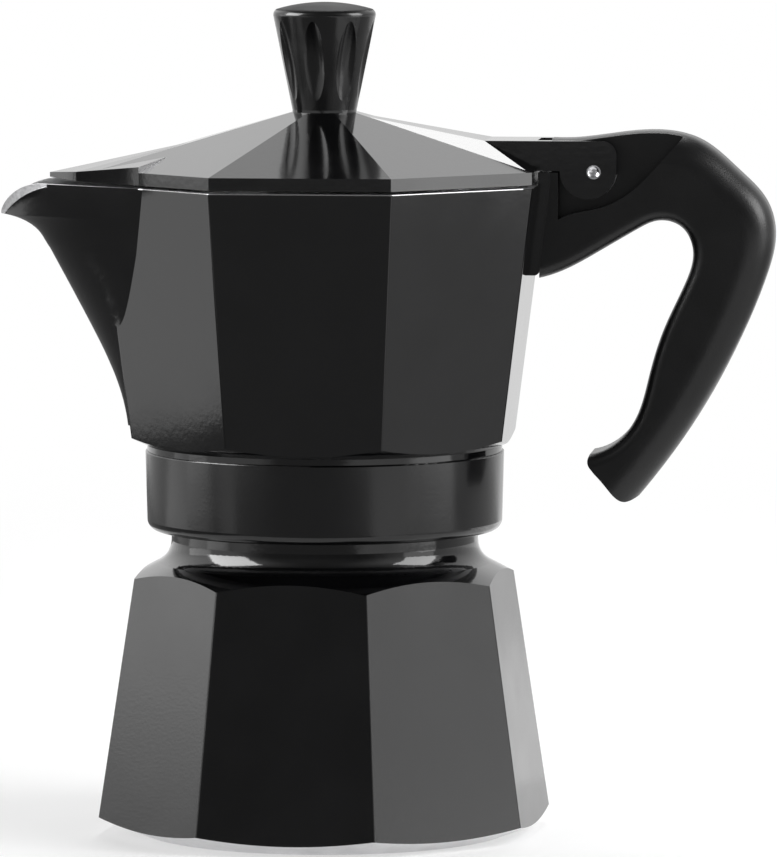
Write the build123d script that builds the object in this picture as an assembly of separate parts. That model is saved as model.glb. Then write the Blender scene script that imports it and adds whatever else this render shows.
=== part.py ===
from build123d import *
import os
from math import atan, cos, degrees, dist, exp, pi, radians, sin, sqrt, tan

# Stove-top moka pot: boiler below, collector above, screwed together at the collar.
# Millimetres. The origin is the centre of the base on the table, +Z is up,
# the handle points to +X and the spout to -X.

# Boiler
base_radius = 35.8
base_bevel_height = 3.5
boiler_foot_radius = 44.6
boiler_shoulder_radius = 37.5
boiler_body_height = 49.4
boiler_turn = -4.26
boiler_wall = 3.0
boiler_floor = 4.0
boiler_floor_round = 5.0
boiler_throat_drop = 1.0
shoulder_slope = 0.53
shoulder_round = 4.8
neck_radius = 29.6
neck_wall = 3.0
corner_round = 0.9
base_edge_round = 0.5

# Screw thread between the two vessels
thread_pitch = 3.0
thread_turns = 2.0
thread_height = 1.4
thread_root_width = 1.9
thread_crest_width = 0.9
thread_radial_clearance = 0.35
thread_flank_clearance = 0.2
thread_run_in = 1.7
thread_sink = 0.3

# Collar and collector
collar_gap = 9.1
neck_engagement = 9.5
collar_wall = 3.25
collar_taper = 0.4
collar_roof = 1.8
collar_low_round = 2.0
collar_top_round = 0.3
groove_height = 1.1
groove_depth = 0.35
underside_slope = 0.47
collector_foot_radius = 38.3
collector_rim_radius = 45.1
collector_depth = 53.4
collector_wall = 2.5
floor_thickness = 2.6
floor_slope = 0.1
column_foot_radius = 8.5
column_top_radius = 5.2
column_bore = 3.4
column_height = 35.0
column_cap = 2.5
window_height = 7.0
window_width = 3.6

# Spout
spout_start_height = 6.6
spout_shelf_height = 12.2
spout_lean = 0.552
spout_foot_half_width = 16.4
spout_rim_half_width = 28.3
spout_swing = 1.4
spout_wall = 2.3
spout_sink = 0.4
spout_back = 20.0
lip_flare = 5.9
lip_curl = 1.3
lip_spread = 0.2
lip_drop = 6.3
lip_length = 9.6

# Seal and filter
gasket_thickness = 3.2
gasket_width = 5.5
gasket_clearance = 0.3
plate_thickness = 0.8
plate_overlap = 2.7
plate_clearance = 0.2
plate_hole_radius = 0.75
plate_hole_spacing = 3.2
plate_blank_rim = 5.2

# Funnel
funnel_sheet = 0.8
funnel_clearance = 0.4
flange_inset = 0.3
basket_depth = 20.0
basket_cone_drop = 5.0
stem_radius = 4.8
stem_floor_gap = 4.5
sieve_thickness = 0.8
sieve_clearance = 0.2
sieve_ledge = 1.0
sieve_hole_radius = 0.8
sieve_hole_spacing = 3.4

# Lid
lid_gap = 0.6
lid_skirt = 2.4
lid_inset = 0.2
lid_rise = 10.5
lid_wall = 1.9
roof_top_radius = 6.7
lid_inner_radius = 8.5
boss_radius = 6.2
boss_height = 0.5
beak_reach = 11.9
beak_tip_height = 1.0
beak_lean = 0.218
beak_corner_back = 7.0
beak_corner_half_width = 12.8
beak_corner_height = 1.8
beak_root_half_width = 26.2
beak_root_height = 3.5
beak_sheet = 0.9
beak_hollow_crown = 0.12
beak_inner_reach = 15.5
beak_inner_half_width = 13.5
hump_inset = 9.9
hump_sink = 0.3

# Hinge
pin_reach = 10.8
pin_rise = 2.6
pin_radius = 1.35
pin_dish_radius = 1.1
pin_dish_depth = 0.45
pin_recess = 0.15
hinge_clearance = 0.05
hinge_half_width = 7.8
ear_thickness = 3.2
ear_left = 6.5
ear_right = 4.3
ear_top = 5.9
ear_corner_round = 2.6
fork_slot_front = 11.0
fork_underside = 0.2
fork_side_clearance = 0.3
lug_half_thickness = 1.8
lug_eye_radius = 4.2
lug_drop = 10.5
lug_clearance = 0.1
pad_thickness = 2.5
pad_drop = 17.2
pad_round = 1.0
pad_lid_gap = 0.35
shelf_drop = 0.1
shelf_ear_gap = 0.3

# Handle, with its outlines given from the hinge pin as (outward, upward)
handle_half_width = 8.0
handle_back = [(2.5, 7.0), (12.1, 7.8), (19.8, 6.1), (27.4, 0.1), (32.6, -5.6), (34.3, -11.7),
               (32.7, -19.9), (27.6, -32.4), (19.9, -46.7), (12.3, -57.6), (6.0, -65.2)]
handle_palm = [(-2.6, -54.2), (4.2, -51.9), (7.6, -48.0), (10.5, -39.3), (13.5, -29.7), (17.5, -21.0),
               (18.9, -15.2), (16.6, -10.4), (12.1, -9.3), (8.3, -10.9), (0.8, -15.3)]
palm_drop = 20.4
handle_back_round = 6.0
handle_palm_round = 2.5
handle_web_top = 6.2
foot_line = [(1.6, -52.2), (-0.8, -54.3), (-1.1, -55.3), (0.9, -58.5), (3.0, -61.0), (5.8, -63.3),
             (8.3, -62.4), (10.2, -61.0)]
foot_margin = 8.0
scoop_line = [(-8.8, -10.6), (-4.9, -8.2), (0.5, -7.0), (4.6, -5.4), (8.6, -2.5), (13.9, 3.2),
              (17.6, 7.6), (20.0, 12.0)]
scoop_drop = 16.0
scoop_lead = 2.0

# Knob and its fastening
knob_height = 20.6
knob_foot_radius = 6.2
knob_rim_radius = 10.05
knob_edge_round = 1.2
knob_dome_height = 1.6
flute_count = 8
flute_half_width = 2.3
flute_depth = 0.9
flute_low = 0.8
flute_high = 17.6
flute_run_out = 0.15
flute_turn = 37.5
insert_radius = 3.2
insert_length = 9.0
screw_radius = 2.0
screw_clearance = 0.3
insert_clearance = 0.05
screw_head_radius = 3.8
screw_head_height = 2.2
screw_depth = 7.5
screw_slot_width = 1.0
screw_slot_depth = 1.0

# Safety valve, on the rear facet of the boiler
valve_height = 37.0
valve_facet_angle = 90.0
valve_shank_radius = 4.0
valve_shank_clearance = 0.1
valve_hex_flats = 12.0
valve_hex_height = 4.0
valve_nose_radius = 4.4
valve_nose_length = 4.0
valve_inner_length = 2.0
valve_inlet_radius = 1.1
valve_chamber_radius = 3.0
valve_seat_depth = 1.5
valve_stem_radius = 0.9
valve_head_radius = 2.0
valve_head_length = 1.5
valve_stem_proud = 2.2
valve_stem_clearance = 0.06
valve_cap_thickness = 1.2
washer_radius = 7.0
washer_thickness = 1.2
spring_wire_radius = 0.25
spring_turns = 3
spring_end_clearance = 0.05

# Levels, from the table up
corner_share = cos(pi / 8)
collar_low_z = boiler_body_height + collar_gap
neck_top_z = collar_low_z + neck_engagement
flange_top_z = neck_top_z + funnel_sheet
seat_z = flange_top_z + gasket_thickness
collar_top_z = seat_z + collar_roof
foot_z = collar_top_z + groove_height
rim_z = seat_z + collector_depth
lid_low_z = rim_z + lid_gap
lid_edge_z = lid_low_z + lid_skirt
lid_roof_z = lid_edge_z + lid_rise
lid_ceiling_z = lid_roof_z - lid_wall
knob_low_z = lid_roof_z + boss_height
lid_radius = collector_rim_radius - lid_inset
lid_flat = lid_radius * corner_share

# Radii of the fits
neck_bore = neck_radius - neck_wall
thread_crest_radius = neck_radius + thread_height
skirt_crest_radius = neck_radius + thread_radial_clearance
skirt_bore = thread_crest_radius + thread_radial_clearance
collar_radius = skirt_bore + collar_wall
gasket_radius = skirt_bore - gasket_clearance
gasket_bore = gasket_radius - gasket_width
plate_radius = gasket_bore + plate_overlap

# Hinge axis
rim_flat = collector_rim_radius * corner_share
pin_x = rim_flat + pin_reach
pin_z = rim_z + pin_rise
slot_half_width = hinge_half_width - ear_thickness
web_half_width = slot_half_width - fork_side_clearance
block_top_z = pin_z + ear_top
shelf_z = pin_z - shelf_drop


def collector_radius(z):
    """Corner radius of the collector's octagon at a height."""
    rise = (z - foot_z) / (rim_z - foot_z)
    return collector_foot_radius + (collector_rim_radius - collector_foot_radius) * rise


def boiler_radius(z):
    """Corner radius of the boiler's octagon at a height."""
    rise = (z - base_bevel_height) / (boiler_body_height - base_bevel_height)
    return boiler_foot_radius + (boiler_shoulder_radius - boiler_foot_radius) * rise


def solid_of(faces):
    """Closed solid from the flat faces round it, each a list of points."""
    return Part() + Solid(Shell([Face(Wire.make_polygon(points, close=True)) for points in faces]))


def octagon_points(radius, z, turn=0.0):
    """Corners of an octagon with flats towards X and Y, turned by an angle."""
    angles = [radians(22.5 + 45 * k + turn) for k in range(8)]
    return [Vector(radius * cos(a), radius * sin(a), z) for a in angles]


def octagon_frustum(low_radius, low_z, high_radius, high_z, turn=0.0, edge_round=0.0):
    """Eight flat walls between two octagons, with rounded corners if asked."""
    low = octagon_points(low_radius, low_z, turn)
    high = octagon_points(high_radius, high_z, turn)
    walls = [[low[k], low[(k + 1) % 8], high[(k + 1) % 8], high[k]] for k in range(8)]
    solid = solid_of(walls + [low[::-1], high])
    if edge_round:
        corners = [e for e in solid.edges() if abs((e @ 0).Z - (e @ 1).Z) > 0.5 * (high_z - low_z)]
        solid = fillet(corners, edge_round)
    return solid


def turned(points):
    """Solid of revolution about Z from (radius, height) points."""
    return revolve(make_face(Plane.XZ * Polyline(*points, close=True)), Axis.Z)


def cylinder_between(radius, low_z, high_z):
    return Pos(0, 0, low_z) * extrude(Circle(radius), high_z - low_z)


def side_profile(sketch, half_width):
    """Solid of a side-view sketch, whose first axis is X and second Z, centred on Y=0."""
    return extrude(Plane.XZ.offset(-half_width) * sketch, 2 * half_width)


def level_edges(solid, z):
    """Edges that lie at one height."""
    box = [(e, e.bounding_box()) for e in solid.edges()]
    return ShapeList([e for e, b in box if abs(b.min.Z - z) < 0.01 and abs(b.max.Z - z) < 0.01])


def thread_ridge(root_radius, crest_radius, root_width, crest_width, start_z, turn):
    """Helical ridge of one screw thread, from a buried root to its crest."""
    helix = Helix(thread_pitch, thread_pitch * thread_turns, root_radius)
    section = Plane(helix @ 0, x_dir=(1, 0, 0), z_dir=helix % 0)
    height = crest_radius - root_radius
    ridge = make_face(section * Polyline((0, -root_width / 2), (height, -crest_width / 2),
                                         (height, crest_width / 2), (0, root_width / 2), close=True))
    return Pos(0, 0, start_z) * Rot(0, 0, turn) * sweep(ridge, path=helix, is_frenet=True)


def groove_width(radius):
    """Axial width of the ridge that fits between two turns of the boiler's thread at a radius."""
    narrowing = (thread_root_width - thread_crest_width) / thread_height
    ridge = thread_root_width - narrowing * (radius - neck_radius)
    return thread_pitch - ridge - 2 * thread_flank_clearance


def hole_rings(hole_radius, spacing, outer_radius):
    """Places of a round sieve pattern: one hole in the middle and rings of six, twelve and so on."""
    places = [(0.0, 0.0)]
    for ring in range(1, int((outer_radius - hole_radius) / spacing) + 1):
        count = 6 * ring
        for k in range(count):
            angle = 2 * pi * k / count
            places.append((ring * spacing * cos(angle), ring * spacing * sin(angle)))
    return places


def sieve_disc(radius, low_z, thickness, hole_radius, spacing, blank_rim):
    """Flat perforated disc."""
    disc = Circle(radius)
    places = hole_rings(hole_radius, spacing, radius - blank_rim)
    holes = [Pos(x, y) * Circle(hole_radius) for x, y in places]
    return Pos(0, 0, low_z) * extrude(disc - holes, thickness)


# Boiler: eight walls cut by a bevelled base and a turned shoulder, with a threaded neck
thread_start_z = collar_low_z + thread_run_in
bevel_slope = base_bevel_height / (boiler_foot_radius - base_radius)
shoulder_top_z = boiler_body_height + shoulder_slope * (boiler_shoulder_radius - neck_radius)
far_radius = 2 * boiler_foot_radius
neck_wall_slope = thread_height / (thread_root_width - thread_crest_width)


def valve_plane():
    """Work plane on the outside of the valve's facet, with its normal outwards."""
    angle = radians(valve_facet_angle + boiler_turn)
    flat = boiler_radius(valve_height) * corner_share
    fall = (boiler_foot_radius - boiler_shoulder_radius) * corner_share
    tilt = atan(fall / (boiler_body_height - base_bevel_height))
    normal = (cos(angle) * cos(tilt), sin(angle) * cos(tilt), sin(tilt))
    return Plane((flat * cos(angle), flat * sin(angle), valve_height),
                 x_dir=(-sin(angle), cos(angle), 0), z_dir=normal)


def make_boiler():
    walls = octagon_frustum(boiler_radius(0), 0, boiler_radius(shoulder_top_z), shoulder_top_z,
                            boiler_turn, corner_round)
    envelope = turned([(0, 0), (base_radius, 0), (far_radius, bevel_slope * (far_radius - base_radius)),
                       (far_radius, boiler_body_height), (boiler_shoulder_radius, boiler_body_height),
                       (neck_radius, shoulder_top_z), (0, shoulder_top_z)])
    body = walls & envelope
    neck = cylinder_between(neck_radius, boiler_body_height, neck_top_z)
    body = body + neck
    waist = [e for e in body.edges() if abs(e.center().Z - shoulder_top_z) < 0.01
             and abs(e.length - 2 * pi * neck_radius) < 0.1]
    body = fillet(waist, shoulder_round)
    foot_ring = [e for e in body.edges() if abs(e.center().Z) < 0.01]
    body = fillet(foot_ring, base_edge_round)
    low_r = boiler_radius(boiler_floor) * corner_share - boiler_wall
    high_z = boiler_body_height - boiler_throat_drop
    high_r = boiler_radius(high_z) * corner_share - boiler_wall
    throat_z = high_z + shoulder_slope * (high_r - neck_bore)
    hollow = turned([(0, boiler_floor), (low_r, boiler_floor), (high_r, high_z), (neck_bore, throat_z),
                     (neck_bore, neck_top_z + 1), (0, neck_top_z + 1)])
    floor_edge = [e for e in hollow.edges() if abs(e.center().Z - boiler_floor) < 0.01]
    hollow = fillet(floor_edge, boiler_floor_round)
    body = body - hollow
    hole = Circle(valve_shank_radius + valve_shank_clearance)
    body = body - valve_plane() * extrude(hole, 3 * boiler_wall, both=True)
    root = neck_radius - thread_sink
    root_width = thread_root_width + thread_sink / neck_wall_slope
    ridge = thread_ridge(root, thread_crest_radius, root_width, thread_crest_width, thread_start_z, 0)
    return body + ridge


# Collector: octagonal vessel over a round threaded skirt, with spout, column, handle pad and hinge lug
spout_start_z = foot_z + spout_start_height
spout_shelf_z = foot_z + spout_shelf_height
lip_z = rim_z - lip_drop
groove_radius = collar_radius - groove_depth
plate_top_z = seat_z + plate_thickness + plate_clearance / 2
floor_low_z = foot_z + floor_thickness


def keel_x(z):
    """Distance of the spout's straight keel from the axis at a height."""
    return collector_radius(spout_start_z) * corner_share + spout_lean * (z - spout_start_z)


def nose_x(z):
    """Distance of the spout's nose, which curls outwards up to the lip and runs on above it."""
    if z > lip_z:
        return keel_x(lip_z) + lip_flare + lip_spread * (z - lip_z)
    return keel_x(z) + lip_flare * exp((z - lip_z) / lip_curl)


def spout_section(z):
    """Level outline of the spout: a round nose between two points just inside the octagon's walls."""
    rise = (z - spout_shelf_z) / (rim_z - spout_shelf_z)
    half = spout_foot_half_width + (spout_rim_half_width - spout_foot_half_width) * rise
    flat = collector_radius(z) * corner_share
    root_x = min(flat, sqrt(2) * flat - half) - spout_sink
    slopes = [(-spout_swing, 1), (spout_swing, 1)]
    nose = Spline((-root_x, -half), (-nose_x(z), 0), (-root_x, half), tangents=slopes)
    back = Polyline((-root_x, half), (-spout_back, half), (-spout_back, -half), (-root_x, -half))
    return Pos(0, 0, z) * make_face(Curve() + [nose, back])


def spout_solid():
    """Filled spout: straight keel, curled lip, and a part above the rim to be trimmed off."""
    curl_z = lip_z - 5 * lip_curl
    curl_levels = [curl_z + (lip_z - curl_z) * share for share in (0, 0.35, 0.65, 0.86, 1)]
    straight = loft([spout_section(spout_start_z - spout_wall), spout_section(curl_z)], ruled=True)
    curl = loft([spout_section(z) for z in curl_levels])
    upper = loft([spout_section(lip_z), spout_section(rim_z + spout_wall)], ruled=True)
    return straight + curl + upper


def lip_trim():
    """Everything above the rim and the spout's drooping lip."""
    tip = nose_x(lip_z)
    arc_start = (-(tip - lip_length), rim_z)
    arc = TangentArc(arc_start, (-tip, lip_z), tangent=(-1, 0))
    far = -tip - lip_length
    rest = Polyline((-tip, lip_z), (far, lip_z - lip_drop), (far, rim_z + lip_length),
                    (0, rim_z + lip_length), (0, rim_z), arc_start)
    return side_profile(make_face(Curve() + [arc, rest]), 2 * spout_rim_half_width)


def pad_face_x(z):
    """Outer face of the handle pad, parallel to the collector's rear wall."""
    return collector_radius(z) * corner_share + pad_thickness


def pin_hole(clearance=0.0):
    """Bore along the hinge axis."""
    return side_profile(Pos(pin_x, pin_z) * Circle(pin_radius + clearance), 2 * hinge_half_width)


def lug_solid(clearance=0.0):
    """Hinge lug behind the pad: an upright plate with an eye, grown by a clearance to cut its slot."""
    low_z = pin_z - lug_drop - clearance
    back_x = pin_x + lug_eye_radius + clearance
    outline = Polyline((pad_face_x(low_z) - pad_thickness / 2, low_z), (back_x, low_z), (back_x, pin_z),
                       (pad_face_x(rim_z), pin_z), (pad_face_x(rim_z) - pad_thickness / 2, rim_z), close=True)
    plate = make_face(outline) + Pos(pin_x, pin_z) * Circle(lug_eye_radius + clearance)
    return side_profile(plate, lug_half_thickness + clearance)


def make_pad():
    """Raised seat for the handle on the collector's rear wall, carried up behind the lid's skirt."""
    low_z = rim_z - pad_drop
    depth = 1.5 * pad_thickness
    behind_x = lid_flat + pad_lid_gap
    outline = Polyline((pad_face_x(low_z) - depth, low_z), (pad_face_x(low_z), low_z),
                       (pad_face_x(rim_z), rim_z), (pad_face_x(rim_z), shelf_z), (behind_x, shelf_z),
                       (behind_x, rim_z), (pad_face_x(rim_z) - depth, rim_z), close=True)
    pad = side_profile(make_face(outline), hinge_half_width)
    return fillet([level_edges(pad, low_z).sort_by(Axis.X)[-1]], pad_round)


def collector_shell():
    """Octagonal wall with its turned underside, the collar and the filled spout."""
    low_z = foot_z - groove_height
    walls = octagon_frustum(collector_radius(low_z), low_z, collector_rim_radius, rim_z,
                            edge_round=corner_round)
    envelope = turned([(0, foot_z), (groove_radius, foot_z),
                       (far_radius, foot_z + underside_slope * (far_radius - groove_radius)),
                       (far_radius, 2 * rim_z), (0, 2 * rim_z)])
    collar = turned([(0, collar_low_z), (collar_radius - collar_taper, collar_low_z),
                     (collar_radius, collar_top_z), (groove_radius, collar_top_z),
                     (groove_radius, foot_z + groove_height), (0, foot_z + groove_height)])
    collar = fillet(level_edges(collar, collar_low_z), collar_low_round)
    widest = level_edges(collar, collar_top_z).sort_by(SortBy.LENGTH)[-1]
    collar = fillet([widest], collar_top_round)
    return (walls & envelope) + collar + spout_solid()


def make_collector():
    floor_radius = collector_radius(floor_low_z)
    floor_peak_z = floor_low_z + floor_slope * (floor_radius - column_foot_radius)
    column_top_z = floor_peak_z + column_height
    floor = turned([(0, foot_z), (far_radius, foot_z), (far_radius, floor_low_z),
                    (floor_radius, floor_low_z), (column_foot_radius, floor_peak_z),
                    (column_top_radius, column_top_z), (0, column_top_z)])
    inset = collector_wall / corner_share
    above_z = rim_z + collector_wall
    hollow = octagon_frustum(collector_radius(foot_z) - inset, foot_z,
                             collector_radius(above_z) - inset, above_z)
    channel = Pos(spout_wall, 0, spout_wall / 2) * spout_solid()
    body = collector_shell() - ((hollow + channel) - floor) - lip_trim()
    recess_radius = plate_radius + plate_clearance
    bore_top_z = column_top_z - column_cap
    bores = turned([(0, 0), (skirt_bore, 0), (skirt_bore, seat_z), (recess_radius, seat_z),
                    (recess_radius, plate_top_z), (gasket_bore, plate_top_z),
                    (column_bore, floor_peak_z - floor_thickness), (column_bore, bore_top_z),
                    (0, bore_top_z)])
    window = Box(4 * column_foot_radius, window_width, window_height)
    body = body - bores - Pos(0, 0, bore_top_z - window_height / 2) * window
    root = skirt_bore + thread_sink
    ridge = thread_ridge(root, skirt_crest_radius, groove_width(root), groove_width(skirt_crest_radius),
                         thread_start_z, 180)
    return body + ridge + make_pad() + lug_solid() - pin_hole()


# Lid: eight-sided roof with a beak over the spout and a hinge fork over the handle
def roofed(plan, low_z, height):
    """Upright prism on a level plan, cut off by a sloping plane given as a height at each point."""
    low = [Vector(x, y, low_z) for x, y in plan]
    high = [Vector(x, y, height(x, y)) for x, y in plan]
    count = len(plan)
    sides = [[low[k], low[(k + 1) % count], high[(k + 1) % count], high[k]] for k in range(count)]
    return solid_of(sides + [low[::-1], high])


def both_sides(half):
    """A piece on the +Y side together with its mirror image."""
    return half + mirror(half, Plane.XZ)


beak_tip_x = -lid_flat - beak_reach
beak_corner_x = beak_tip_x + beak_corner_back
beak_root_x = beak_root_half_width - sqrt(2) * lid_flat
beak_inner_x = beak_inner_reach - lid_flat
beak_slant = (beak_root_half_width - beak_corner_half_width) / (beak_root_x - beak_corner_x)
beak_inset = lid_wall * sqrt(1 + beak_slant ** 2)


def ridge_height(x):
    """Top of the beak along its middle."""
    return lid_low_z + beak_tip_height + beak_lean * (x - beak_tip_x)


def plane_height(a, b, c):
    """Height of the plane through three points, as a function of x and y."""
    normal = (b - a).cross(c - a)

    def height(x, y):
        return a.Z - (normal.X * (x - a.X) + normal.Y * (y - a.Y)) / normal.Z

    return height


beak_tip = Vector(beak_tip_x, 0, ridge_height(beak_tip_x))
beak_back = Vector(beak_inner_x, 0, ridge_height(beak_inner_x))
beak_corner = Vector(beak_corner_x, beak_corner_half_width, lid_low_z + beak_corner_height)
beak_root = Vector(beak_root_x, beak_root_half_width, lid_low_z + beak_root_height)
beak_front_roof = plane_height(beak_tip, beak_back, beak_corner)
beak_rear_roof = plane_height(beak_corner, beak_back, beak_root)


def make_beak():
    """Pointed visor with a ridge along its middle, in two flat panes on each side."""
    corner = (beak_corner_x, beak_corner_half_width)
    back = (beak_inner_x, 0)
    front = roofed([(beak_tip_x, 0), back, corner], lid_low_z, beak_front_roof)
    rear = roofed([corner, back, (beak_inner_x, beak_inner_half_width), (beak_root_x, beak_root_half_width)],
                  lid_low_z, beak_rear_roof)
    return both_sides(front + rear)


def beak_hollow():
    """Space under the beak between its side walls, open at the front."""
    mouth_x = beak_tip_x - lid_wall
    back_x = beak_inner_x - lid_wall
    deep_x = beak_root_x - lid_wall

    def wall_y(x):
        return beak_corner_half_width + beak_slant * (x - beak_corner_x) - beak_inset

    def ceiling(x, y):
        return ridge_height(x) - beak_hollow_crown * y - beak_sheet

    room = [(mouth_x, 0), (back_x, 0), (back_x, beak_inner_half_width - lid_wall), (deep_x, wall_y(deep_x)),
            (mouth_x, wall_y(mouth_x))]
    return both_sides(roofed(room, lid_low_z - lid_wall, ceiling))


def make_hump():
    """Raised saddle on the rear roof facet that leads up to the hinge fork."""
    top_x = roof_top_radius * corner_share
    edge_x = lid_flat - hump_sink
    crest_x = lid_flat - hump_inset
    slope = lid_rise / (lid_flat - top_x)
    ridge = tan(pi / 8)

    def roof_point(x, y):
        return Vector(x, y, lid_edge_z + slope * (lid_flat - x) - hump_sink)

    high = [roof_point(top_x, side * top_x * ridge) for side in (-1, 1)]
    crest = [Vector(crest_x, side * hinge_half_width, block_top_z) for side in (-1, 1)]
    edge = [roof_point(edge_x, side * hinge_half_width) for side in (-1, 1)]
    corner = [roof_point(edge_x, side * edge_x * ridge) for side in (-1, 1)]
    top = [high[0], high[1], crest[1], crest[0]]
    front = [crest[0], crest[1], edge[1], edge[0]]
    underside = [high[0], corner[0], edge[0], edge[1], corner[1], high[1]]
    flanks = [[high[k], corner[k], crest[k]] for k in (0, 1)]
    cheeks = [[crest[k], corner[k], edge[k]] for k in (0, 1)]
    return solid_of([top, front, underside] + flanks + cheeks)


def make_fork():
    """Block over the rim whose two ears hang beside the handle's web and take the hinge pin."""
    low_z = pin_z + fork_underside
    front_x = lid_flat - hump_inset
    left_x = pin_x - ear_left
    right_x = pin_x + ear_right
    block = make_face(Polyline((front_x, low_z), (right_x, low_z), (right_x, block_top_z),
                               (front_x, block_top_z), close=True))
    block = fillet(block.vertices().sort_by(Axis.X)[-2:].sort_by(Axis.Y)[-1:], ear_corner_round)
    ear = Pos((left_x + right_x) / 2, low_z) * Circle((right_x - left_x) / 2)
    fork = side_profile(block + ear, hinge_half_width)
    slot_x = pin_x - fork_slot_front
    slot = Pos(slot_x, -slot_half_width, 0) * Box(2 * fork_slot_front, 2 * slot_half_width, 2 * block_top_z,
                                                  align=(Align.MIN, Align.MIN, Align.MIN))
    return fork - slot - pin_hole(hinge_clearance)


def make_lid():
    roof = octagon_frustum(lid_radius, lid_edge_z, roof_top_radius, lid_roof_z)
    skirt = octagon_frustum(lid_radius, lid_low_z, lid_radius, lid_edge_z)
    boss = cylinder_between(boss_radius, lid_roof_z - lid_wall, knob_low_z)
    inset = lid_wall / corner_share
    inner_edge_z = lid_edge_z - lid_wall / 2
    inner_skirt = octagon_frustum(lid_radius - inset, lid_low_z - lid_wall, lid_radius - inset, inner_edge_z)
    inner_roof = octagon_frustum(lid_radius - inset, inner_edge_z, lid_inner_radius, lid_ceiling_z)
    body = roof + skirt + boss + make_beak() + make_hump()
    body = body - (inner_skirt + inner_roof) - beak_hollow()
    body = body - cylinder_between(screw_radius + screw_clearance, lid_low_z, knob_low_z + 1)
    return body + make_fork()


# Handle: hooked bar, waisted to a web between the lid's ears
def lies_on(edge, start, end):
    """Whether an edge runs between two points of the side view."""
    ends = [((edge @ share).X, (edge @ share).Z) for share in (0, 1)]
    return any(dist(ends[0], a) + dist(ends[1], b) < 0.1 for a, b in ((start, end), (end, start)))


def make_handle():
    front_high = (pad_face_x(rim_z), pin_z + handle_web_top)
    back = [front_high] + [(pin_x + out, pin_z + up) for out, up in handle_back]
    palm = [(pin_x + out, pin_z + up) for out, up in handle_palm]
    palm = palm + [(pad_face_x(pin_z - palm_drop), pin_z - palm_drop)]
    front = Polyline(palm[-1], (pad_face_x(rim_z), rim_z), front_high)
    outline = Curve() + [Spline(*back), Line(back[-1], palm[0]), Spline(*palm), front]
    bar = side_profile(make_face(outline), handle_half_width)
    bar = fillet([e for e in bar.edges() if lies_on(e, back[0], back[-1])], handle_back_round)
    bar = fillet([e for e in bar.edges() if lies_on(e, palm[0], palm[-1])], handle_palm_round)
    start = (pad_face_x(pin_z - scoop_drop) - scoop_lead, pin_z - scoop_drop)
    line = [start] + [(pin_x + out, pin_z + up) for out, up in scoop_line]
    above = Polyline(line[-1], (start[0], line[-1][1]), start)
    shelf_x = pin_x - ear_left - shelf_ear_gap
    left_x = start[0] - scoop_lead
    shelf_corners = [(left_x, start[1]), (shelf_x, start[1]), (shelf_x, shelf_z), (left_x, shelf_z)]
    shelf = Polyline(*shelf_corners, close=True)
    side = make_face(Curve() + [Spline(*line), above]) - make_face(shelf)
    scoop = extrude(Plane.XZ.offset(-2 * handle_half_width) * side, 2 * handle_half_width - web_half_width)
    foot = [(pin_x + out, pin_z + up) for out, up in foot_line]
    low_z = min(z for x, z in foot) - foot_margin
    beyond = Polyline(foot[-1], (foot[-1][0], low_z), (foot[0][0] - foot_margin, low_z),
                      (foot[0][0] - foot_margin, foot[0][1]), foot[0])
    trim = side_profile(make_face(Curve() + [Spline(*foot), beyond]), 2 * handle_half_width)
    return bar - both_sides(scoop) - trim - lug_solid(lug_clearance) - pin_hole()


# Knob with its threaded bush and screw
def make_knob():
    rim_height = knob_height - knob_dome_height
    side = Polyline((0, 0), (knob_foot_radius, 0), (knob_rim_radius, rim_height))
    crown = ThreePointArc((knob_rim_radius, rim_height),
                          (knob_rim_radius * 0.5, rim_height + 0.75 * knob_dome_height), (0, knob_height))
    blank = revolve(make_face(Plane.XZ * (Curve() + [side, crown, Line((0, knob_height), (0, 0))])), Axis.Z)
    rim = [e for e in blank.edges() if abs(e.center().Z - rim_height) < 0.01]
    blank = fillet(rim, knob_edge_round)
    lean = (knob_rim_radius - knob_foot_radius) / rim_height
    cutter_radius = (flute_half_width ** 2 + flute_depth ** 2) / (2 * flute_depth)
    offset = cutter_radius - flute_depth
    end = offset - flute_run_out
    middle = (flute_low + flute_high) / 2
    arc = ThreePointArc((end, flute_low), (cutter_radius, middle), (end, flute_high))
    rest = Polyline((end, flute_high), (0, flute_high), (0, flute_low), (end, flute_low))
    spindle = revolve(make_face(Plane.XZ * (Curve() + [arc, rest])), Axis.Z)
    axis_foot = knob_foot_radius + offset * sqrt(1 + lean ** 2)
    flute = Pos(axis_foot, 0, 0) * Rot(0, degrees(atan(lean)), 0) * spindle
    flutes = [Rot(0, 0, flute_turn + 360 / flute_count * k) * flute for k in range(flute_count)]
    blank = blank - flutes
    return Pos(0, 0, knob_low_z) * (blank - cylinder_between(insert_radius, 0, insert_length))


def make_knob_insert():
    bush = cylinder_between(insert_radius, knob_low_z, knob_low_z + insert_length)
    return bush - cylinder_between(screw_radius + insert_clearance, knob_low_z, knob_low_z + insert_length)


def make_knob_screw():
    head_z = lid_ceiling_z - screw_head_height
    screw = cylinder_between(screw_head_radius, head_z, lid_ceiling_z)
    screw = screw + cylinder_between(screw_radius, lid_ceiling_z, knob_low_z + screw_depth)
    slot = Pos(0, 0, head_z) * Box(4 * screw_head_radius, screw_slot_width, 2 * screw_slot_depth)
    return screw - slot


def make_hinge_pin():
    half = hinge_half_width - pin_recess
    pin = side_profile(Pos(pin_x, pin_z) * Circle(pin_radius), half)
    ball_radius = (pin_dish_radius ** 2 + pin_dish_depth ** 2) / (2 * pin_dish_depth)
    ball_y = half + ball_radius - pin_dish_depth
    return pin - [Pos(pin_x, side * ball_y, pin_z) * Sphere(ball_radius) for side in (-1, 1)]


# Seal, filter plate and funnel, stacked on the boiler's rim
def make_gasket():
    ring = cylinder_between(gasket_radius, flange_top_z, seat_z)
    return ring - cylinder_between(gasket_bore, flange_top_z, seat_z)


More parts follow.
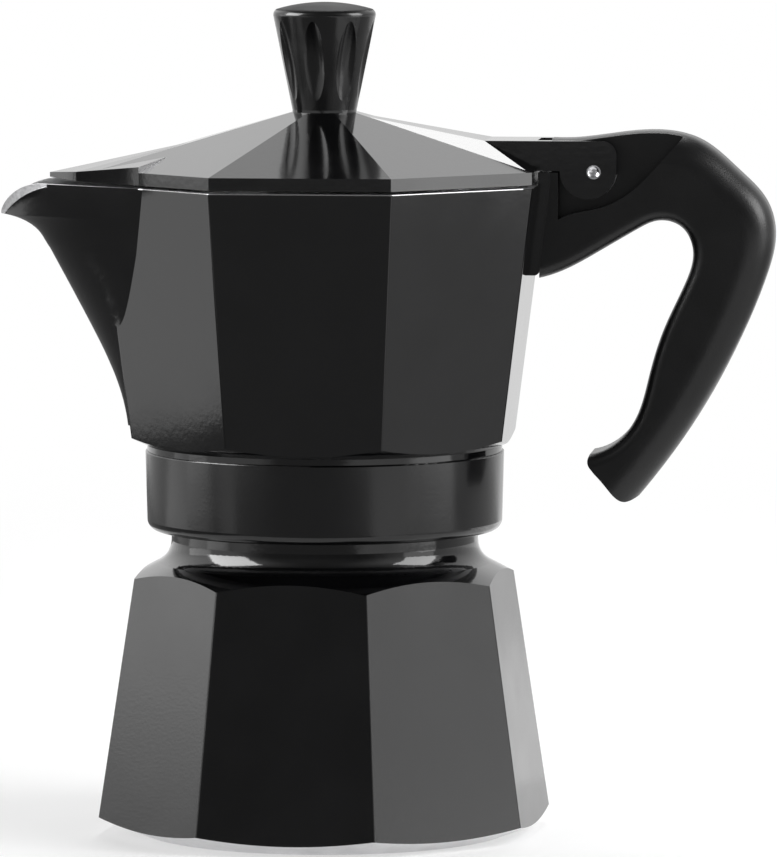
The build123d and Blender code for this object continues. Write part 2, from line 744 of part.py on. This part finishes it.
def make_filter_plate():
    return sieve_disc(plate_radius, seat_z, plate_thickness, plate_hole_radius, plate_hole_spacing,
                      plate_blank_rim)


basket_radius = neck_bore - funnel_clearance
basket_bore = basket_radius - funnel_sheet
ledge_z = neck_top_z - basket_depth
cone_z = ledge_z - basket_cone_drop
stem_low_z = boiler_floor + stem_floor_gap


def make_funnel():
    flange_radius = neck_radius - flange_inset
    ledge_radius = basket_bore - sieve_ledge
    stem_bore = stem_radius - funnel_sheet
    return turned([(flange_radius, neck_top_z), (flange_radius, flange_top_z), (basket_bore, flange_top_z),
                   (basket_bore, ledge_z), (ledge_radius, ledge_z), (stem_bore, cone_z),
                   (stem_bore, stem_low_z), (stem_radius, stem_low_z), (stem_radius, cone_z - funnel_sheet),
                   (ledge_radius, ledge_z - funnel_sheet), (basket_radius, ledge_z - funnel_sheet),
                   (basket_radius, neck_top_z)])


def make_funnel_sieve():
    return sieve_disc(basket_bore - sieve_clearance, ledge_z, sieve_thickness, sieve_hole_radius,
                      sieve_hole_spacing, 2 * sieve_ledge)


# Safety valve, built along the facet's normal from the facet outwards
hex_low = washer_thickness
hex_high = hex_low + valve_hex_height
nose_end = hex_high + valve_nose_length
valve_seat = hex_low + valve_seat_depth
cap_low = nose_end - valve_cap_thickness
head_end = valve_seat + valve_head_length
spring_radius = (valve_stem_radius + valve_head_radius) / 2


def make_valve_body():
    inner_end = -boiler_wall - valve_inner_length
    hexagon = RegularPolygon(valve_hex_flats / 2, 6, major_radius=False)
    body = cylinder_between(valve_shank_radius, inner_end, hex_high)
    body = body + Pos(0, 0, hex_low) * extrude(hexagon, valve_hex_height)
    body = body + cylinder_between(valve_nose_radius, hex_high, nose_end)
    body = body - cylinder_between(valve_inlet_radius, inner_end, valve_seat)
    return valve_plane() * (body - cylinder_between(valve_chamber_radius, valve_seat, nose_end))


def make_valve_washer():
    ring = cylinder_between(washer_radius, 0, washer_thickness)
    hole = cylinder_between(valve_shank_radius + valve_shank_clearance, 0, washer_thickness)
    return valve_plane() * (ring - hole)


def make_valve_pin():
    head = cylinder_between(valve_head_radius, valve_seat, head_end)
    return valve_plane() * (head + cylinder_between(valve_stem_radius, head_end, nose_end + valve_stem_proud))


def make_valve_spring():
    low = head_end + spring_end_clearance + spring_wire_radius
    length = cap_low - spring_end_clearance - spring_wire_radius - low
    helix = Helix(length / spring_turns, length, spring_radius)
    wire = sweep(Plane(helix @ 0, z_dir=helix % 0) * Circle(spring_wire_radius), path=helix, is_frenet=True)
    return valve_plane() * Pos(0, 0, low) * wire


def make_valve_cap():
    disc = cylinder_between(valve_chamber_radius, cap_low, nose_end)
    hole = cylinder_between(valve_stem_radius + valve_stem_clearance, cap_low, nose_end)
    return valve_plane() * (disc - hole)


pieces = {
    "boiler": make_boiler,
    "collector": make_collector,
    "lid": make_lid,
    "knob": make_knob,
    "knob_insert": make_knob_insert,
    "knob_screw": make_knob_screw,
    "handle": make_handle,
    "hinge_pin": make_hinge_pin,
    "gasket": make_gasket,
    "filter_plate": make_filter_plate,
    "funnel": make_funnel,
    "funnel_sieve": make_funnel_sieve,
    "valve_body": make_valve_body,
    "valve_washer": make_valve_washer,
    "valve_pin": make_valve_pin,
    "valve_spring": make_valve_spring,
    "valve_cap": make_valve_cap,
}

os.makedirs("parts", exist_ok=True)
for name, make in pieces.items():
    piece = make()
    print(name, piece.is_valid, len(piece.solids()), round(piece.volume, 1))
    export_step(piece, f"parts/{name}.step")
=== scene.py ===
# %% [markdown]
# # A black lacquered moka pot
# The CAD model already holds every piece at its real size: two cast vessels that screw together, a hinged
# lid, a moulded handle and knob, and the filter, funnel and valve inside. This lesson only gives those
# pieces their finish, then sets up the floor, the light and the camera. The frame is loaded first.

# %% Load the frame
from math import pi

import bpy
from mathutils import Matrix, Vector

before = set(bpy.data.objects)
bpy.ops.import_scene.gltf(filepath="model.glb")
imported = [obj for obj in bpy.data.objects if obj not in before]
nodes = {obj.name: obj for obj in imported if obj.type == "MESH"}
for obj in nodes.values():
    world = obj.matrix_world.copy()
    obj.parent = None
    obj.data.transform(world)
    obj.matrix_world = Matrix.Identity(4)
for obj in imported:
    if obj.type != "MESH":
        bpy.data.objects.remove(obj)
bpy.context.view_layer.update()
print("pieces in the frame:", len(nodes))

# %% [markdown]
# ## Camera
# The pot was seen from a little to the right and a little above, from about one and a half metres away with
# a long lens, so its upright lines hardly converge. A camera can be placed by eye, but here its place and
# target were worked out once from corners of the pot, so they are written as plain positions in metres.

# %% Camera
camera_place = Vector((0.16696, -1.46469, 0.21105))
camera_target = Vector((0.01220, 0.00139, 0.07777))
focal_pixels = 7673.6
picture_height = 857
sensor_size = 36.0
far_limit = 50

camera_data = bpy.data.cameras.new("photo_camera")
camera_data.sensor_width = sensor_size
camera_data.lens = focal_pixels * sensor_size / picture_height
camera_data.clip_end = far_limit
camera = bpy.data.objects.new("photo_camera", camera_data)
camera.location = camera_place
camera.rotation_euler = (camera_target - camera_place).to_track_quat("-Z", "Y").to_euler()
bpy.context.scene.collection.objects.link(camera)
bpy.context.scene.camera = camera
print("lens in mm:", round(camera_data.lens, 1))

# %% [markdown]
# ## Small helpers for node materials
# Every finish here is one Principled shader with a few texture nodes in front of it. Writing the same four
# lines for each node hides the idea, so these helpers make a material, add a node and set its inputs.

# %% Helpers for materials and nodes
def new_finish(name):
    """A material with one Principled shader, and the parts needed to add nodes to it."""
    material = bpy.data.materials.new(name)
    material.use_nodes = True
    tree = material.node_tree
    return material, tree, tree.nodes["Principled BSDF"]


def add(tree, kind, **settings):
    """A node of one kind with its settings; a setting that names an input sets that input."""
    node = tree.nodes.new(kind)
    for key, value in settings.items():
        name = key.replace("_", " ").title()
        if hasattr(node, key):
            setattr(node, key, value)
        else:
            node.inputs[name].default_value = value
    return node


def object_place(tree):
    """Position on the piece in metres, which every CAD piece shares with the whole pot."""
    return add(tree, "ShaderNodeTexCoord").outputs["Object"]


print("material helpers ready")

# %% Helpers for arithmetic
def calc(tree, operation, *terms):
    """One step of arithmetic on numbers or sockets."""
    node = add(tree, "ShaderNodeMath", operation=operation)
    for socket, term in zip(node.inputs, terms):
        if isinstance(term, (int, float)):
            socket.default_value = term
        else:
            tree.links.new(term, socket)
    return node.outputs["Value"]


def run(tree, value, low, high, start, end, **settings):
    """Runs evenly from start to end while a value goes from low to high, and stays level beyond."""
    node = add(tree, "ShaderNodeMapRange", **settings)
    for name, number in (("From Min", low), ("From Max", high), ("To Min", start), ("To Max", end)):
        node.inputs[name].default_value = number
    tree.links.new(value, node.inputs["Value"])
    return node.outputs["Result"]


def between(tree, value, low, high, start=0.0, end=1.0):
    """The same run with soft ends."""
    return run(tree, value, low, high, start, end, interpolation_type="SMOOTHSTEP")


def blend(tree, kind, factor, first, second):
    """Goes from one colour or number to another while the factor goes from 0 to 1."""
    mix = add(tree, "ShaderNodeMix", data_type=kind)
    for name, source in (("Factor", factor), ("A", first), ("B", second)):
        tree.links.new(source, mix.inputs[name])
    return mix.outputs["Result"]


print("arithmetic helpers ready")

# %% [markdown]
# ## Noise for variety
# No real surface is quite even. Noise in the shader gives that without a picture, and since it is read at a
# place on the piece, it stays where it is when the piece moves. Most of a noise lies near its middle, so
# that part is spread over a range of shades, of roughness or of height.

# %% Helpers for noise
noise_low = 0.3
noise_high = 0.7


def grain(tree, scale, detail=2.0, roughness=0.5):
    """Cloudy noise; scale is in patches per metre."""
    noise = add(tree, "ShaderNodeTexNoise", scale=scale, detail=detail, roughness=roughness)
    tree.links.new(object_place(tree), noise.inputs["Vector"])
    return noise.outputs["Fac"]


def spread(tree, value, low, high):
    """Maps the middle of a noise to a range of another quantity."""
    return run(tree, value, noise_low, noise_high, low, high)


def tint(tree, value, dark, light):
    """Colour that runs between two close shades."""
    ramp = add(tree, "ShaderNodeValToRGB")
    for element, place, shade in zip(ramp.color_ramp.elements, (noise_low, noise_high), (dark, light)):
        element.position = place
        element.color = (*shade, 1)
    tree.links.new(value, ramp.inputs["Fac"])
    return ramp.outputs["Color"]


def bumps(tree, shader, value, height):
    """Lets a value between 0 and 1 raise the surface by a height in metres."""
    bump = add(tree, "ShaderNodeBump", distance=height)
    tree.links.new(value, bump.inputs["Height"])
    tree.links.new(bump.outputs["Normal"], shader.inputs["Normal"])


print("noise is used from", noise_low, "to", noise_high)

# %% [markdown]
# ## Black lacquer
# The castings are sprayed with black lacquer and stoved. It is glossy, but not a mirror: the film has a
# faint orange peel, and its gloss wanders a little. A tiny wide bump gives the peel, and a slow noise moves
# the roughness. The colour itself stays almost black, because what shows on each facet is reflected light.
# The lower vessel is a little duller and its grain shows more, and the collar is satin.

# %% Black lacquer
lacquer_dark = (0.0012, 0.0012, 0.0014)
lacquer_light = (0.0022, 0.0022, 0.0025)
lacquer_cloud = 90
film_ior = 1.5


def make_lacquer(name, gloss_low, gloss_high, peel_scale, peel_height):
    """Black film with a range of roughness; its peel is in patches per metre, and as high as is said."""
    material, tree, shader = new_finish(name)
    cloud = grain(tree, lacquer_cloud, 3)
    peel = grain(tree, peel_scale)
    tree.links.new(tint(tree, cloud, lacquer_dark, lacquer_light), shader.inputs["Base Color"])
    tree.links.new(spread(tree, cloud, gloss_low, gloss_high), shader.inputs["Roughness"])
    bumps(tree, shader, peel, peel_height)
    shader.inputs["IOR"].default_value = film_ior
    return material


glossy = {"gloss_low": 0.07, "gloss_high": 0.11, "peel_scale": 900, "peel_height": 6e-6}
dull = {"gloss_low": 0.14, "gloss_high": 0.19, "peel_scale": 1700, "peel_height": 1.2e-5}
satin = {"gloss_low": 0.15, "gloss_high": 0.19, "peel_scale": 1700, "peel_height": 8e-6}
lacquer = make_lacquer("black_lacquer", **glossy)
boiler_lacquer = make_lacquer("dull_boiler_lacquer", **dull)
collar_satin = make_lacquer("satin_collar_lacquer", **satin)
print("lacquers:", lacquer.name, boiler_lacquer.name, collar_satin.name)

# %% [markdown]
# ## The ground lip
# After spraying, the rim of the upper vessel and the lip of its spout are ground back to bare metal, which
# leaves a thin bright line under the lid and a pale crescent on the spout. It could be cut into the mesh,
# but it is only as deep as the film. So the vessel's own lacquer carries a mask: everything above a line
# that follows the rim and then droops along an arc to the spout's tip shows metal instead of lacquer. The
# rim beside the spout and the side of the hinge keep their lacquer.

# %% Where the lip is ground
lip_start = -0.0481
lip_arc = 0.018
ground_level = 0.1252
line_softness = 0.00025
hinge_side = 0.040
spout_side = (-0.052, -0.0325)


def lip_mask(tree):
    """1 on ground metal and 0 on lacquer, and how far out along the lip a place is."""
    place = add(tree, "ShaderNodeSeparateXYZ")
    tree.links.new(object_place(tree), place.inputs["Vector"])
    out = calc(tree, "MAXIMUM", calc(tree, "SUBTRACT", lip_start, place.outputs["X"]), 0.0)
    chord = calc(tree, "SQRT", calc(tree, "SUBTRACT", lip_arc ** 2, calc(tree, "MULTIPLY", out, out)))
    edge = calc(tree, "ADD", ground_level - lip_arc, chord)
    above = between(tree, calc(tree, "SUBTRACT", place.outputs["Z"], edge), 0.0, line_softness)
    middle = sum(spout_side) / 2
    reach = (spout_side[1] - spout_side[0]) / 2
    kept = calc(tree, "COMPARE", place.outputs["X"], middle, reach)
    ground = calc(tree, "SUBTRACT", calc(tree, "LESS_THAN", place.outputs["X"], hinge_side), kept)
    return calc(tree, "MULTIPLY", above, ground), out


print("ground rim above", 1000 * ground_level, "mm")

# %% Ground lip
film = 0.0001
scratch_scale = 1500
ground_dark = (0.5, 0.5, 0.51)
ground_light = (0.68, 0.68, 0.69)
ground_rim = 0.25
ground_tip = 0.45
ground_wander = 0.05
dull_within = 0.006


def grind_lip(material):
    """Lets bare metal show through a lacquer where the mask says so, a film's depth lower."""
    tree = material.node_tree
    shader = tree.nodes["Principled BSDF"]
    sprayed = {name: shader.inputs[name].links[0].from_socket
               for name in ("Base Color", "Roughness", "Normal")}
    bare, out = lip_mask(tree)
    scratches = grain(tree, scratch_scale, 3, 0.6)
    metal = tint(tree, scratches, ground_dark, ground_light)
    polish = calc(tree, "ADD", spread(tree, scratches, -ground_wander, ground_wander),
                  between(tree, out, 0.0, dull_within, ground_rim, ground_tip))
    step = add(tree, "ShaderNodeBump", invert=True, distance=film)
    tree.links.new(bare, step.inputs["Height"])
    tree.links.new(sprayed["Normal"], step.inputs["Normal"])
    finish = {
        "Base Color": blend(tree, "RGBA", bare, sprayed["Base Color"], metal),
        "Roughness": blend(tree, "FLOAT", bare, sprayed["Roughness"], polish),
        "Metallic": bare,
        "Normal": step.outputs["Normal"],
    }
    for name, source in finish.items():
        tree.links.new(source, shader.inputs[name])


collector_lacquer = make_lacquer("black_lacquer_ground_lip", **glossy)
grind_lip(collector_lacquer)
print("ground lip in:", collector_lacquer.name)

# %% [markdown]
# ## Bare metal
# Inside, on the rim and under the base, the castings are left bare. Such metal is pale grey, a little
# cloudy, and shows fine tool marks. A metallic shader with a medium roughness that varies at two scales
# does that without any image. The pressed, turned and machined pieces differ only in colour and polish.

# %% Bare metal
metal_cloud = 160
metal_pits = 1800
pit_depth = 0.00001


def make_bare_metal(name, dark, light, rough_low, rough_high):
    """Metal of two close shades, with a range of roughness and fine pits."""
    material, tree, shader = new_finish(name)
    cloud = grain(tree, metal_cloud, 4, 0.6)
    pits = grain(tree, metal_pits, 3, 0.6)
    tree.links.new(tint(tree, cloud, dark, light), shader.inputs["Base Color"])
    tree.links.new(spread(tree, pits, rough_low, rough_high), shader.inputs["Roughness"])
    bumps(tree, shader, pits, pit_depth)
    shader.inputs["Metallic"].default_value = 1.0
    return material


bare_aluminium = make_bare_metal("bare_cast_aluminium", (0.62, 0.62, 0.63), (0.74, 0.74, 0.75), 0.3, 0.42)
pressed_aluminium = make_bare_metal("pressed_aluminium", (0.68, 0.68, 0.69), (0.8, 0.8, 0.81), 0.22, 0.34)
polished_steel = make_bare_metal("polished_steel", (0.6, 0.6, 0.62), (0.72, 0.72, 0.74), 0.12, 0.22)
brass = make_bare_metal("machined_brass", (0.62, 0.45, 0.2), (0.74, 0.56, 0.28), 0.2, 0.32)
print("metals:", bare_aluminium.name, pressed_aluminium.name, polished_steel.name, brass.name)

# %% [markdown]
# ## Moulded plastic and rubber
# Handle and knob are moulded in black thermoset plastic with a fine matt grain; the knob is a little
# glossier, apart from its dome, which fingers have worn dull. The seals are pale food-grade rubber. All of
# them are one recipe with different colours, so that one function can make them.

# %% Plastic and rubber
moulding_cloud = 120
moulding_skin = 3200
moulding_ior = 1.5


def make_moulding(name, shades, rough_low, rough_high, grain_height, gloss=0.5):
    """Plastic or rubber of two close shades, with a range of roughness and a grain as high as is said."""
    material, tree, shader = new_finish(name)
    cloud = grain(tree, moulding_cloud, 3)
    skin = grain(tree, moulding_skin)
    tree.links.new(tint(tree, cloud, *shades), shader.inputs["Base Color"])
    tree.links.new(spread(tree, cloud, rough_low, rough_high), shader.inputs["Roughness"])
    bumps(tree, shader, skin, grain_height)
    shader.inputs["IOR"].default_value = moulding_ior
    shader.inputs["Specular IOR Level"].default_value = gloss
    return material


black = ((0.0015, 0.0015, 0.0017), (0.0025, 0.0025, 0.0028))
pale = ((0.72, 0.7, 0.66), (0.8, 0.78, 0.74))
handle_plastic = make_moulding("matt_handle_plastic", black, 0.3, 0.36, 2e-5, gloss=0.4)
knob_plastic = make_moulding("satin_knob_plastic", black, 0.16, 0.2, 8e-6)
worn_plastic = make_moulding("worn_knob_plastic", black, 0.45, 0.6, 3e-5, gloss=0.2)
seal_rubber = make_moulding("pale_seal_rubber", pale, 0.6, 0.72, 2e-5)
print("mouldings:", handle_plastic.name, knob_plastic.name, worn_plastic.name, seal_rubber.name)

# %% [markdown]
# ## Which face gets which finish
# A casting is one piece of metal with lacquer outside and bare metal inside, so its mesh needs several
# finishes. The side that a face is on follows from its normal: a wall that looks away from the pot's axis is
# outside, and one that looks towards it is inside. Faces are given a material slot, and the mesh itself
# stays as it is. Places are in millimetres here, as in the CAD.

# %% Helpers for finish by face
def dress(node, finishes, choose):
    """Gives a CAD piece its materials; choose returns the finish's number for a face's centre and normal."""
    mesh = nodes[node].data
    mesh.materials.clear()
    for finish in finishes:
        mesh.materials.append(finish)
    count = [0] * len(finishes)
    for face in mesh.polygons:
        face.material_index = choose(face.center * 1000, face.normal)
        count[face.material_index] += 1
    print(node, dict(zip([finish.name for finish in finishes], count)))


def outwards(centre, normal):
    """How far a face looks away from the pot's axis, from 1 outwards to -1 inwards."""
    return (centre.x * normal.x + centre.y * normal.y) / max(centre.xy.length, 0.001)


print("finish by face ready")

# %% Upper vessel
hinge_start = 41.5
collar_top = 73.9
collar_bore = 33
vessel_bore = 28
looks_out = 0.05
looks_up = 0.7
looks_down = -0.3


def collector_finish(centre, normal):
    """0 lacquer, 1 satin collar, 2 bare metal."""
    if centre.x > hinge_start and centre.z > collar_top:
        return 0
    if centre.z < collar_top and centre.xy.length > collar_bore:
        return 1
    if outwards(centre, normal) > looks_out and centre.xy.length > vessel_bore and normal.z < looks_up:
        return 0
    return 2 if normal.z > looks_down or centre.xy.length < collar_bore else 0


dress("collector", [collector_lacquer, collar_satin, bare_aluminium], collector_finish)

# %% [markdown]
# ## Shoulder of the lower vessel
# Above its facets the lower vessel is turned on a lathe, so its shoulder is smoother than the cast facets
# and takes the lacquer with more shine. The line between them is a height, which is the simplest test of a
# face. The base, the mouth and the inside are bare.

# %% Lower vessel
shoulder_start = 48.5
base_top = 4
base_tilt = -0.5
looks_in = -0.01
neck_bore = 27
level = 0.98


def boiler_finish(centre, normal):
    """0 lacquered facets, 1 bare metal, 2 turned shoulder."""
    under = centre.z < base_top and normal.z < base_tilt
    inside = outwards(centre, normal) < looks_in or centre.xy.length < neck_bore
    if under or inside or normal.z > level:
        return 1
    return 2 if centre.z > shoulder_start else 0


dress("boiler", [boiler_lacquer, bare_aluminium, lacquer], boiler_finish)

# %% [markdown]
# ## Lid and knob
# The lid is lacquered on top and on the fork of its hinge, and bare below and in the mouth of its beak. The
# knob is one moulding. Its dome differs only in wear, so a second finish goes on the faces that look up.

# %% Lid and knob
fork_start = 30
fork_low = 128
beak_mouth = -45
mouth_tilt = -0.9
roof_underside = -0.1
upright = 0.1
dome_tilt = 0.75


def lid_finish(centre, normal):
    """0 lacquer, 1 bare metal."""
    if centre.x > fork_start and centre.z > fork_low:
        return 0
    mouth = normal.x < mouth_tilt and centre.x < beak_mouth
    skirt_inside = abs(normal.z) < upright and outwards(centre, normal) < 0
    return 1 if mouth or normal.z < roof_underside or skirt_inside else 0


dress("lid", [lacquer, bare_aluminium], lid_finish)
dress("knob", [knob_plastic, worn_plastic], lambda centre, normal: 1 if normal.z > dome_tilt else 0)

# %% [markdown]
# ## Small pieces
# All other pieces are of one material each, as on the real pot: steel for pin, screw, poppet and spring,
# brass for bush and valve, rubber for the seals and pressed aluminium for filter and funnel. A table says
# it most plainly.

# %% Small pieces
whole_pieces = {
    "handle": handle_plastic,
    "hinge_pin": polished_steel,
    "knob_screw": polished_steel,
    "knob_insert": brass,
    "gasket": seal_rubber,
    "valve_washer": seal_rubber,
    "filter_plate": pressed_aluminium,
    "funnel": pressed_aluminium,
    "funnel_sieve": pressed_aluminium,
    "valve_body": brass,
    "valve_cap": brass,
    "valve_pin": polished_steel,
    "valve_spring": polished_steel,
}
for node, finish in whole_pieces.items():
    dress(node, [finish], lambda centre, normal: 0)

# %% [markdown]
# ## Floor
# The pot stands on a white sheet. Near the pot half of the sheet is matt white, so it takes a soft shadow,
# and the other half is a painted glow that lightens that shadow. Farther out it fades into even white, so
# that no horizon shows from any side. A mix of a matt shader and a glow does both, and the distance from
# the pot says how much there is of each.

# %% Sheet
floor_size = 12.0
half = floor_size / 2
floor_mesh = bpy.data.meshes.new("white_sheet")
floor_mesh.from_pydata([(-half, -half, 0), (half, -half, 0), (half, half, 0), (-half, half, 0)], [],
                       [(0, 1, 2, 3)])
floor = bpy.data.objects.new("white_sheet", floor_mesh)
bpy.context.scene.collection.objects.link(floor)
print("floor", floor_size, "m across")

# %% Finish of the sheet
sheet_white = (0.86, 0.86, 0.86, 1)
fade_start = 0.1
fade_end = 0.8
# Half of the sheet glows even next to the pot: painted light that lightens the pot's shadow.
shadow_lightening_glow = 0.5

floor_finish, tree, shader = new_finish("white_sheet_glow_sheet")
shader.inputs["Base Color"].default_value = sheet_white
shader.inputs["Roughness"].default_value = 0.9
shader.inputs["Specular IOR Level"].default_value = 0.1
away = add(tree, "ShaderNodeVectorMath", operation="LENGTH")
tree.links.new(object_place(tree), away.inputs[0])
fade = between(tree, away.outputs["Value"], fade_start, fade_end, shadow_lightening_glow)
glow = add(tree, "ShaderNodeEmission")
join = add(tree, "ShaderNodeMixShader")
tree.links.new(fade, join.inputs["Fac"])
tree.links.new(shader.outputs["BSDF"], join.inputs[1])
tree.links.new(glow.outputs["Emission"], join.inputs[2])
tree.links.new(join.outputs["Shader"], tree.nodes["Material Output"].inputs["Surface"])
floor_mesh.materials.append(floor_finish)
print("even white from", fade_end, "m")

# %% [markdown]
# ## White surround
# Black gloss shows nothing of its own: each facet is as bright as what it mirrors. The studio is white all
# round apart from a dark zone behind the camera, so the facets that look at the camera stay black while
# those at the sides turn grey and the lid turns pale. It is a little brighter on the left and at head
# height, and dims towards the ceiling, so that it lights the pot at a plain level. The world gives this
# surround, and rays that come straight from the camera see plain white.

# %% White surround
wall_white = 1.22
left_gain = 0.3
behind_camera = (-0.85, -0.35, 0.19)
head_height = (0.1, 0.4, 0.75, 1.08)
ceiling = (0.5, 0.85, 1.0, 0.15)

world = bpy.data.worlds.new("white_studio")
bpy.context.scene.world = world
world.use_nodes = True
tree = world.node_tree
background = tree.nodes["Background"]
aim = add(tree, "ShaderNodeSeparateXYZ")
tree.links.new(add(tree, "ShaderNodeTexCoord").outputs["Generated"], aim.inputs["Vector"])
walls = calc(tree, "SUBTRACT", wall_white, calc(tree, "MULTIPLY", aim.outputs["X"], left_gain))
for axis, zone in (("Y", behind_camera), ("Z", head_height), ("Z", ceiling)):
    walls = calc(tree, "MULTIPLY", walls, between(tree, aim.outputs[axis], *zone))
ray = add(tree, "ShaderNodeLightPath")
choice = add(tree, "ShaderNodeMix", data_type="FLOAT")
tree.links.new(ray.outputs["Is Camera Ray"], choice.inputs["Factor"])
tree.links.new(walls, choice.inputs["A"])
choice.inputs["B"].default_value = 1.0
tree.links.new(choice.outputs["Result"], background.inputs["Strength"])
background.inputs["Color"].default_value = (1, 1, 1, 1)
print("surround ready")

# %% [markdown]
# ## Softboxes
# Seven softboxes do the rest. One at each side in front puts the bright bands on the waist, one overhead
# brightens the steep flank of the hinge, and three low ones at the sides light the facets of the boiler.
# The last lifts the shadow on the floor and stays out of reflections. Their power follows from the
# brightness that their face should have, so that they can be tuned by eye.

# %% Softboxes
def softbox(name, place, target, size, brightness, on_floor=True, in_gloss=True):
    """A lamp with an even face; it can be kept off the floor, or out of the reflections."""
    light = bpy.data.lights.new(name, "AREA")
    light.shape = "RECTANGLE"
    light.size, light.size_y = size
    light.energy = brightness * pi * size[0] * size[1]
    lamp = bpy.data.objects.new(name, light)
    lamp.location = place
    lamp.rotation_euler = (Vector(target) - Vector(place)).to_track_quat("-Z", "Y").to_euler()
    lamp.visible_camera = False
    lamp.visible_diffuse = on_floor
    lamp.visible_glossy = in_gloss
    bpy.context.scene.collection.objects.link(lamp)
    print(name, round(light.energy, 2), "W")


waist = (0, 0, 0.06)
softbox("left_softbox", (-0.92, -0.29, 0.55), waist, (0.7, 0.66), brightness=10.5, on_floor=False)
softbox("right_softbox", (1.05, -0.1, 0.6), waist, (0.6, 0.62), brightness=7.0)
softbox("high_softbox", (0.0, 0.56, 1.13), (0.03, 0, 0.13), (0.4, 0.34), brightness=11.4)
softbox("low_left_softbox", (-1.2, 0.25, 0.2), (0, 0.25, 0.2), (0.6, 0.28), brightness=1.15)
softbox("low_right_softbox", (1.2, -0.2, 0.21), (0, -0.2, 0.21), (0.6, 0.2), brightness=1.3)
softbox("right_strip", (1.2, -0.12, 0.065), (0, -0.12, 0.065), (0.5, 0.07), brightness=3.4)
softbox("floor_fill", (0.8, -0.35, 0.9), (0, 0, 0), (0.5, 0.5), brightness=6.5, in_gloss=False)

# %% [markdown]
# ## Glowing cards on the floor
# The upper vessel widens upwards, so its facets mirror the floor. Glowing sheets lie there, where a
# photographer lays cards, and paint the reflections: dim ones in front and below the spout paint dark
# reflections, and brighter ones at the sides paint grey and white reflections. One small dim sheet stands
# upright to the left of the beak and paints a dark reflection on the spout. Only reflections see them, and
# each glows with the brightness that its reflection should show, because a plain grey card would also
# depend on the lamps above it.

# %% Helpers for cards
card_lift = Vector((0, 0, 0.001))


def card(name, corners, brightness):
    """A glowing sheet through some corners, seen only in reflections, where it paints a reflection; a corner
    without a height lies on the floor.
    """
    mesh = bpy.data.meshes.new(name)
    mesh.from_pydata([Vector(corner).to_3d() + card_lift for corner in corners], [], [range(len(corners))])
    sheet = bpy.data.objects.new(name, mesh)
    material = bpy.data.materials.new(name + "_glow_sheet")
    material.use_nodes = True
    tree = material.node_tree
    tree.nodes.remove(tree.nodes["Principled BSDF"])
    # The sheet glows: it is a painted reflection of a card, not paper lit by the lamps.
    glow = add(tree, "ShaderNodeEmission", strength=brightness)
    tree.links.new(glow.outputs["Emission"], tree.nodes["Material Output"].inputs["Surface"])
    mesh.materials.append(material)
    bpy.context.scene.collection.objects.link(sheet)
    sheet.visible_camera = False
    sheet.visible_shadow = False
    sheet.visible_diffuse = False
    print(name, "brightness", brightness)


def oblong(left, right, front, back):
    """Corners of a card with square corners."""
    return [(left, front), (right, front), (right, back), (left, back)]


print("cards lie", 1000 * card_lift.z, "mm above the sheet")

# %% Dim glowing cards: painted dark reflections
card("front_card", [(-0.4, -0.9), (0.28, -0.9), (0.28, -0.4), (0.1, -0.13), (-0.14, -0.13), (-0.4, -0.31)],
     brightness=0.28)
card("far_front_card", oblong(-0.6, 0.3, -3.2, -0.9), brightness=0.25)
card("spout_card", [(-0.46, -0.2), (-0.12, -0.2), (-0.12, 0.24), (-0.14, 0.65), (-0.34, 0.65),
                    (-0.41, 0.24), (-0.395, 0.09), (-0.346, 0.036), (-0.346, 0.022), (-0.363, 0.005),
                    (-0.46, 0.004)], brightness=0.2)
beak_x = -0.095
# A dim glowing flag stands upright beside the beak and paints a dark reflection on the spout.
card("beak_flag", [(beak_x, y, z) for y, z in oblong(-0.0185, 0.03, 0.11, 0.14)], brightness=0.13)

# %% Brighter glowing cards: painted grey and white reflections
card("left_card", [(-0.8, 0.005), (-0.461, 0.005), (-0.364, 0.006), (-0.347, 0.023), (-0.347, 0.037),
                   (-0.396, 0.091), (-0.411, 0.22), (-0.8, 0.22)], brightness=1.4)
card("rear_left_card", [(-0.8, 0.22), (-0.411, 0.22), (-0.35, 0.55), (-0.8, 0.55)], brightness=0.55)
card("knob_card", oblong(-0.8, -0.48, -0.2, 0.005), brightness=2.2)
card("right_card", oblong(0.16, 0.55, -0.2, 0.06), brightness=0.74)
card("far_right_card", oblong(0.55, 0.95, -0.35, 0.06), brightness=2.6)
card("rear_right_card", oblong(0.2, 0.85, 0.06, 0.5), brightness=0.45)
card("rear_card", oblong(0.04, 0.2, 0.1, 0.5), brightness=1.3)

# %% [markdown]
# ## Colour management and finish
# The Standard view shows colours as they are written.

# %% Finish
bpy.context.scene.view_settings.view_transform = "Standard"
